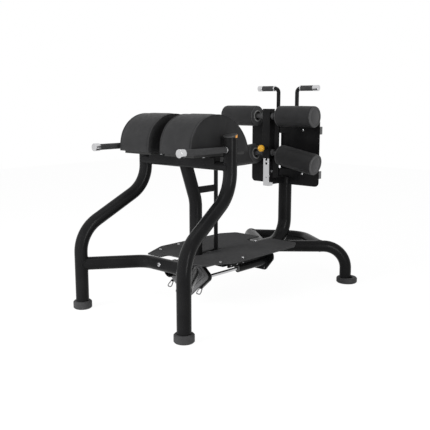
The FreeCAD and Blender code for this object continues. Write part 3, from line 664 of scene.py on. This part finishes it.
def stuffed(obj, base_z):
    """Swell the cushion by a cloth simulation, with its base held and the swell limited."""
    mesh = obj.data
    held = obj.vertex_groups.new(name="held")
    held.add([v.index for v in mesh.vertices if v.co.z < base_z + held_height], 1.0, "REPLACE")
    before = [vert.co.copy() for vert in mesh.vertices]
    cloth = obj.modifiers.new("cloth", "CLOTH")
    cloth.settings.use_pressure = True
    cloth.settings.uniform_pressure_force = pad_pressure
    cloth.settings.effector_weights.gravity = 0
    cloth.settings.vertex_group_mass = "held"
    scene = bpy.context.scene
    for step in range(1, pad_frames + 1):
        scene.frame_set(step)
    mesh = applied(obj)
    scene.frame_set(1)
    for vert, start in zip(mesh.vertices, before):
        swell = vert.co - start
        if swell.length > 0:
            kept = pad_swell_limit * math.tanh(swell.length / pad_swell_limit)
            vert.co = start + swell.normalized() * kept


def seamed(mesh, low, high):
    """Pull the skin in along the two seams beside the end faces."""
    heart_y = (low.y + high.y) / 2
    seams = (low.x + seam_inset, high.x - seam_inset)
    for vert in mesh.vertices:
        if vert.co.z < low.z + held_height:
            continue
        near = min(abs(vert.co.x - seam) for seam in seams)
        pull = seam_depth * math.exp(-(near / seam_width) ** 2)
        inward = Vector((0, heart_y - vert.co.y, low.z - vert.co.z)).normalized()
        vert.co += inward * pull


def mirror_mesh(mesh, name):
    copy = mesh.copy()
    copy.name = name
    copy.transform(Matrix.Scale(-1, 4, X))
    copy.flip_normals()
    return copy


def thigh_pads():
    low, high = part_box("thigh_pad_right")
    blank, edges = pad_blank(low, high)
    pad = bpy.data.objects.new("thigh_cushion_right", blank)
    bpy.context.scene.collection.objects.link(pad)
    stuffed(pad, low.z)
    bm = bmesh.new()
    for edge in edges:
        path = [pad.data.vertices[i].co.copy() for i in edge]
        for point in path:
            point.z = max(point.z, low.z + piping_radius)
        bead(bm, path, piping_radius)
    pad.modifiers.new("smooth", "SUBSURF").levels = 1
    mesh = applied(pad)
    seamed(mesh, low, high)
    for vert in mesh.vertices:
        vert.co.z = max(vert.co.z, low.z)
    mesh.shade_smooth()
    piping = made("thigh_piping_right", bm, piping_vinyl, "frame")
    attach(pad, "frame")
    mirrored = mirror_mesh(mesh, "cushion_left")
    mirrored_piping = mirror_mesh(piping.data, "piping_left")
    other_pad = bpy.data.objects.new("thigh_cushion_left", mirrored)
    other_piping = bpy.data.objects.new("thigh_piping_left", mirrored_piping)
    for obj in (other_pad, other_piping):
        bpy.context.scene.collection.objects.link(obj)
        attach(obj, "frame")
    paint(other_piping, piping_vinyl)
    for side, obj in (("right", pad), ("left", other_pad)):
        paint(obj, pad_vinyl)
        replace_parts(obj, "thigh_pad_" + side)


thigh_pads()

# Padded rollers, their hubs and the light rings at their inner ends
roller_fillet = 0.005
roller_crown = 0.0007
roller_crease = 0.0005
roller_crease_scale = 2.5
roller_steps = 40
hub_fillet = 0.0012
groove_share = 0.72
groove_width = 0.0016
groove_depth = 0.001
disc_thickness = 0.004
hub_tube_radius = 0.03
hub_recess_radius = 0.026
hub_recess_depth = 0.018
hub_bore_radius = 0.01655
ring_inner_radius = 0.031
ring_radius = 0.037
ring_thickness = 0.0012


def roller_cover(name, node, start, outward, body):
    low, high, radius = along(node_points(node), start, outward)
    inner = hub_tube_radius
    span = high - low - 2 * roller_fillet

    def creased(spot, height, angle):
        if spot < radius - roller_fillet:
            return 0
        share = (height - low) / (high - low)
        probe = Vector((math.cos(angle), math.sin(angle), height / radius))
        crease = roller_crease * noise.noise(probe * roller_crease_scale)
        return roller_crown * math.sin(math.pi * share) + crease

    profile = [(inner, low, 0), (radius, low, roller_fillet)]
    sides = [(radius, low + roller_fillet + span * k / roller_steps, 0)
             for k in range(1, roller_steps)]
    profile += sides + [(radius, high, roller_fillet), (inner, high, 0)]
    obj = turned(name, rounded(profile), start, outward, roller_vinyl, body,
                 creased)
    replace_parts(obj, node)


def roller_hub(name, node, start, outward, body):
    low, high, radius = along(node_points(node), start, outward)
    groove = radius * groove_share
    thick = disc_thickness
    profile = [(hub_recess_radius, low, hub_fillet), (radius, low, hub_fillet),
               (radius, low + thick, hub_fillet), (hub_tube_radius, low + thick, 0),
               (hub_tube_radius, high - thick, 0), (radius, high - thick, hub_fillet),
               (radius, high, hub_fillet), (groove + groove_width, high, 0),
               (groove, high - groove_depth, 0), (groove - groove_width, high, 0), (0, high, 0),
               (0, high - thick, 0), (hub_bore_radius, high - thick, 0),
               (hub_bore_radius, low + hub_recess_depth, 0),
               (hub_recess_radius, low + hub_recess_depth, 0)]
    obj = turned(name, rounded(profile), start, outward, disc_plastic, body)
    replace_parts(obj, node)
    ring = [(ring_inner_radius, low, 0), (ring_inner_radius, low - ring_thickness, 0),
            (ring_radius, low - ring_thickness, ring_thickness / 2), (ring_radius, low, 0)]
    turned(name + "_ring", rounded(ring), start, outward, ring_plastic, body)


for level in ("upper", "lower"):
    for side, sign in SIDES:
        spool = level + "_" + side
        joint = joints[spool + "_spin"]
        origin = Vector(joint["pos_m"])
        outward = Vector(joint["axis"]).normalized() * sign
        spool_body = joint["child"]
        roller_cover(spool + "_cushion", level + "_roller_" + side, origin, outward, spool_body)
        roller_hub(spool + "_spool", level + "_hub_" + side, origin, outward, spool_body)

# Hand grips and their metal trims
grip_fillet = 0.002
grip_bore = 0.0126
top_grip_bore = 0.0131
trim_fillet = 0.001
cap_floor = 0.008

# Trims higher than this share of the pad boards' height are on the top handles
high_up_share = 1.2


def sleeve(name, points, axis, bore, fillet, material, closed_end=None):
    """A round sleeve that fills the box of the given points, open or closed at one end."""
    low, high = limits(points)
    middle = (low + high) / 2
    radius = max(high - low - axis * axis.dot(high - low)) / 2
    length = (high - low).dot(axis)
    start = middle - axis * length / 2
    if closed_end is None:
        profile = [(bore, 0, 0), (radius, 0, fillet), (radius, length, fillet), (bore, length, 0)]
    else:
        if closed_end < 0:
            start, axis = start + axis * length, -axis
        profile = [(bore, 0, 0), (radius, 0, fillet), (radius, length, fillet), (0, length, 0),
                   (0, length - cap_floor, 0), (bore, length - cap_floor, 0)]
    return turned(name, rounded(profile), start, axis, material, "frame")


for side, _ in SIDES:
    node = "handle_grip_" + side
    grip = sleeve("front_grip_" + side, node_points(node), Y, grip_bore, grip_fillet,
                  grip_rubber)
    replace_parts(grip, node)

for group in islands("top_handle_grips"):
    low, high = limits(group)
    side = "right" if low.x > 0 else "left"
    grip = sleeve("top_grip_" + side, group, X, top_grip_bore, grip_fillet, grip_rubber)
    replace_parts(grip, "top_handle_grips")

for group in islands("grip_trims"):
    low, high = limits(group)
    side = "right" if low.x > 0 else "left"
    outward = 1 if low.x > 0 else -1
    on_top = low.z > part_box("pad_boards")[1].z * high_up_share
    axis = X if on_top else Y
    length = (high - low).dot(axis)
    is_cap = length > 2 * cap_floor
    name = ("top_" if on_top else "front_") + ("cap_" if is_cap else "collar_") + side
    closed = None if not is_cap else (outward if on_top else -1)
    trim = sleeve(name, group, axis, top_grip_bore if on_top else grip_bore, trim_fillet,
                  aluminium_x if on_top else aluminium_y, closed)
    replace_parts(trim, "grip_trims")

# Feet
foot_fillet = 0.004
foot_chamfer = 0.006
tube_radius = 0.038
foot_floor = 0.012


def foot(name, node, slope):
    low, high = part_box(node)
    middle = (low + high) / 2
    radius = (high.x - low.x) / 2
    height = high.z - low.z
    start = Vector((middle.x, middle.y, low.z))
    profile = [(0, 0, 0), (radius - foot_chamfer, 0, foot_fillet / 2),
               (radius, foot_chamfer, foot_fillet / 2), (radius, height - slope, foot_fillet),
               (radius - slope, height, foot_fillet / 2), (tube_radius, height, 0),
               (tube_radius, foot_floor, 0), (0, foot_floor, 0)]
    obj = turned(name, rounded(profile), start, Z, foot_rubber, "frame")
    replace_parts(obj, node)


for side, _ in SIDES:
    foot("front_pad_foot_" + side, "front_foot_" + side, foot_chamfer)
    foot("rear_pad_foot_" + side, "rear_foot_" + side, foot_chamfer)

# Bolt heads
socket_share = 0.42
socket_depth_share = 0.6
head_dome_share = 0.35
end_band_share = 0.25
shoulder_share = 0.9
crown_share = 0.7
crown_drop_share = 0.2
flat_share = 0.55
hex_sides = 6
facets_per_side = 8
tilt_limit = 20


def flattest(points):
    """The direction that a head's points reach least far along: an axis, or Y tilted."""
    tilts = [Matrix.Rotation(math.radians(k), 3, X) @ Y for k in range(-tilt_limit, tilt_limit + 1)]

    def span(direction):
        spots = [point.dot(direction) for point in points]
        return max(spots) - min(spots)

    return min([X, Z] + tilts, key=span), span


def bolt(bm, points):
    """A button head with a hexagon socket, standing on the wider end of the given points."""
    low, high = limits(points)
    axis, span = flattest(points)
    middle = (low + high) / 2
    height = span(axis)
    radius = max(high - low) / 2
    upper = [point for point in points if (point - middle).dot(axis) > height * end_band_share]
    lower = [point for point in points if (point - middle).dot(axis) < -height * end_band_share]
    spread = [max((p - middle - axis * (p - middle).dot(axis)).length for p in group)
              for group in (lower, upper)]
    if spread[1] > spread[0]:
        axis = -axis
    place = place_along(middle - axis * height / 2, axis)
    count = hex_sides * facets_per_side
    socket = radius * socket_share
    dome = height * head_dome_share

    def round_ring(out, z):
        angles = [2 * math.pi * k / count for k in range(count)]
        return [bm.verts.new(place @ Vector((out * math.cos(a), out * math.sin(a), z)))
                for a in angles]

    def hex_ring(out, z):
        ring = []
        for k in range(count):
            angle = 2 * math.pi * k / count
            turn = angle % (2 * math.pi / hex_sides) - math.pi / hex_sides
            reach = out * math.cos(math.pi / hex_sides) / math.cos(turn)
            ring.append(bm.verts.new(place @ Vector((reach * math.cos(angle),
                                                     reach * math.sin(angle), z))))
        return ring

    rings = [[bm.verts.new(place @ Vector((0, 0, 0)))], round_ring(radius, 0),
             round_ring(radius, height - dome * 2),
             round_ring(radius * shoulder_share, height - dome),
             round_ring(radius * crown_share, height - dome * crown_drop_share),
             round_ring(radius * flat_share, height),
             hex_ring(socket, height), hex_ring(socket, height * (1 - socket_depth_share)),
             [bm.verts.new(place @ Vector((0, 0, height * (1 - socket_depth_share))))]]
    for lower, upper in zip(rings, rings[1:]):
        bridge(bm, lower, upper)


heads = bmesh.new()
for group in islands("fixings"):
    bolt(heads, group)
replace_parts(made("bolt_heads", heads, bolt_zinc, "frame"), "fixings")

# Yellow knob of the pop pin
knob_neck_radius = 0.0105
knob_neck_fillet = 0.002
knob_points = 24
knob_flat_share = 0.2


def pin_knob():
    low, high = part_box("pin_knob")
    radius = (high.x - low.x) / 2
    middle = Vector(((low.x + high.x) / 2, low.y + radius, (low.z + high.z) / 2))
    front = math.asin(knob_flat_share)
    back = math.pi - math.asin(knob_neck_radius / radius)
    profile = [Vector((0, radius * math.cos(front)))]
    for k in range(knob_points + 1):
        angle = front + (back - front) * k / knob_points
        profile.append(Vector((radius * math.sin(angle), radius * math.cos(angle))))
    neck_end = -(high.y - middle.y)
    neck = [(knob_neck_radius, neck_end, knob_neck_fillet / 2), (0, neck_end, 0)]
    profile = profile + rounded([(*profile[-1], 0)] + neck)[1:]
    knob = turned("knob_ball", profile, middle, -Y, knob_plastic, "pop_pin_body")
    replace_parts(knob, "pin_knob")


pin_knob()

# Weld beads round the tube joints
bead_radius = 0.0028
cope_tolerance = 0.0006
cope_length = 0.03
frame_joints = (("lower_crossbar", "front_leg_right"), ("lower_crossbar", "front_leg_left"),
                ("upper_crossbar", "front_leg_right"), ("upper_crossbar", "front_leg_left"),
                ("handle_bars", "front_leg_right"), ("handle_bars", "front_leg_left"),
                ("rear_crossbar", "rear_leg_right"), ("rear_crossbar", "rear_leg_left"),
                ("rear_leg_right", "spine_column"), ("rear_leg_left", "spine_column"),
                ("spine_column", "lower_crossbar"), ("centre_post", "spine_column"),
                ("pad_strut", "spine_column"), ("post_arm", "spine_column"),
                ("top_handle_bars", "foot_plate_frame"))
carriage_joints = (("upper_axles", "carriage_tube"), ("lower_axles", "carriage_tube"))


def loops_of(edges):
    """Closed chains of points, from edges that meet two at a vertex."""
    around = {}
    for edge in edges:
        for vert in edge.verts:
            around.setdefault(vert, []).append(edge)
    loops = []
    left = set(edges)
    while left:
        first = left.pop()
        start, vert = first.verts
        chain = [start.co.copy(), vert.co.copy()]
        while vert is not start:
            ahead = [edge for edge in around[vert] if edge in left]
            if len(ahead) != 1:
                break
            left.remove(ahead[0])
            vert = ahead[0].other_vert(vert)
            chain.append(vert.co.copy())
        if vert is start:
            loops.append(chain[:-1])
    return loops


def girth(loop):
    return sum((point - before).length for before, point in zip([loop[-1]] + loop, loop))


def thinned(loop):
    """The loop without points that crowd together."""
    kept = [loop[0]]
    for point in loop[1:]:
        if (point - kept[-1]).length > bead_radius and (point - loop[0]).length > bead_radius:
            kept.append(point)
    return kept


def cope_rims(node, target):
    """The outer rim of each end of a node that sits on the target's surface."""
    bm = bmesh.new()
    bm.from_mesh(nodes[node].data)
    bmesh.ops.remove_doubles(bm, verts=bm.verts, dist=join_distance)
    tree = BVHTree.FromObject(nodes[target], bpy.context.evaluated_depsgraph_get())
    resting = set()
    for vert in bm.verts:
        if tree.find_nearest(vert.co)[3] < cope_tolerance:
            resting.add(vert)
    end_faces = {face for face in bm.faces if all(vert in resting for vert in face.verts)}
    rim_edges = [edge for edge in bm.edges
                 if sum(face in end_faces for face in edge.link_faces) == 1]
    rims = [loop for loop in loops_of(rim_edges) if girth(loop) > cope_length]
    bm.free()
    outer = []
    for rim in sorted(rims, key=girth, reverse=True):
        low, high = limits(rim)
        inside = any(all(a <= b for a, b in zip(big_low, low)) and
                     all(a >= b for a, b in zip(big_high, high)) for big_low, big_high in outer)
        if not inside:
            outer.append((low, high))
            yield thinned(rim)


def welds(name, pairs, body):
    bm = bmesh.new()
    for node, target in pairs:
        for rim in cope_rims(node, target):
            bead(bm, rim, bead_radius)
    made(name, bm, frame_coat, body)


welds("frame_welds", frame_joints, "frame")
welds("carriage_welds", carriage_joints, joints["upper_right_spin"]["parent"])

# Floor and light
floor_size = 16.0
sky_strength = 0.36
white_share = 0.92
floor_lit = 0.55


def seen_directly(nodes_of, links):
    """A value of 1 for camera, glossy and transmission rays."""
    path = nodes_of.new("ShaderNodeLightPath")
    either = path.outputs["Is Camera Ray"]
    for kind in ("Is Glossy Ray", "Is Transmission Ray"):
        most = nodes_of.new("ShaderNodeMath")
        most.operation = "MAXIMUM"
        links.new(either, most.inputs[0])
        links.new(path.outputs[kind], most.inputs[1])
        either = most.outputs[0]
    return either


def make_world():
    world = bpy.data.worlds.new("studio")
    world.use_nodes = True
    tree = world.node_tree
    tree.nodes.clear()
    plain = tree.nodes.new("ShaderNodeBackground")
    plain.inputs["Strength"].default_value = sky_strength
    white = tree.nodes.new("ShaderNodeBackground")
    white.inputs["Color"].default_value = (1, 1, 1, 1)
    plain.inputs["Color"].default_value = (1, 1, 1, 1)
    mix = tree.nodes.new("ShaderNodeMixShader")
    out = tree.nodes.new("ShaderNodeOutputWorld")
    tree.links.new(seen_directly(tree.nodes, tree.links), mix.inputs["Fac"])
    tree.links.new(plain.outputs[0], mix.inputs[1])
    tree.links.new(white.outputs[0], mix.inputs[2])
    tree.links.new(mix.outputs[0], out.inputs["Surface"])
    bpy.context.scene.world = world


def make_floor():
    material = bpy.data.materials.new("floor")
    material.use_nodes = True
    tree = material.node_tree
    tree.nodes.clear()
    plain = tree.nodes.new("ShaderNodeBsdfDiffuse")
    plain.inputs["Color"].default_value = (*floor_white, 1)
    white = tree.nodes.new("ShaderNodeEmission")
    white.inputs["Strength"].default_value = (1 - (1 - white_share) * floor_lit) / white_share
    share = tree.nodes.new("ShaderNodeMath")
    share.operation = "MULTIPLY"
    share.inputs[1].default_value = white_share
    mix = tree.nodes.new("ShaderNodeMixShader")
    out = tree.nodes.new("ShaderNodeOutputMaterial")
    tree.links.new(seen_directly(tree.nodes, tree.links), share.inputs[0])
    tree.links.new(share.outputs[0], mix.inputs["Fac"])
    tree.links.new(plain.outputs[0], mix.inputs[1])
    tree.links.new(white.outputs[0], mix.inputs[2])
    tree.links.new(mix.outputs[0], out.inputs["Surface"])
    half = floor_size / 2
    mesh = bpy.data.meshes.new("floor")
    corners = [(-half, -half, 0), (half, -half, 0), (half, half, 0), (-half, half, 0)]
    mesh.from_pydata(corners, [], [(0, 1, 2, 3)])
    floor = bpy.data.objects.new("floor", mesh)
    bpy.context.scene.collection.objects.link(floor)
    paint(floor, material)


lamp_target = Vector((0, 0, 0.6))


def lamp(name, compass, rise, distance, width, height, power, mirrored_in_gloss=True):
    """A soft lamp; compass is in degrees from -Y towards +X, rise above the floor."""
    a, e = math.radians(compass), math.radians(rise)
    away = Vector((math.sin(a) * math.cos(e), -math.cos(a) * math.cos(e), math.sin(e)))
    data = bpy.data.lights.new(name, "AREA")
    data.shape = "RECTANGLE"
    data.size = width
    data.size_y = height
    data.energy = power
    holder = bpy.data.objects.new(name, data)
    holder.visible_glossy = mirrored_in_gloss
    holder.location = lamp_target + away * distance
    holder.rotation_mode = "QUATERNION"
    holder.rotation_quaternion = (-away).to_track_quat("-Z", "Y")
    bpy.context.scene.collection.objects.link(holder)


def make_camera():
    yaw, tilt = camera_yaw, camera_tilt
    ahead = Vector((-math.sin(yaw) * math.cos(tilt), math.cos(yaw) * math.cos(tilt),
                    -math.sin(tilt)))
    data = bpy.data.cameras.new("camera")
    data.lens = camera_lens
    data.sensor_width = camera_sensor
    camera = bpy.data.objects.new("camera", data)
    camera.location = camera_place
    camera.rotation_mode = "QUATERNION"
    camera.rotation_quaternion = ahead.to_track_quat("-Z", "Y")
    bpy.context.scene.collection.objects.link(camera)
    bpy.context.scene.camera = camera


make_world()
make_floor()
lamp("front", compass=-12.0, rise=14.0, distance=4.0, width=2.2, height=2.2, power=230.0,
     mirrored_in_gloss=False)
lamp("strip", compass=71.0, rise=9.0, distance=4.5, width=0.7, height=2.6, power=80.0)
lamp("top", compass=20.0, rise=80.0, distance=4.0, width=2.0, height=2.0, power=26.0)
make_camera()
bpy.context.scene.view_settings.view_transform = "Standard"
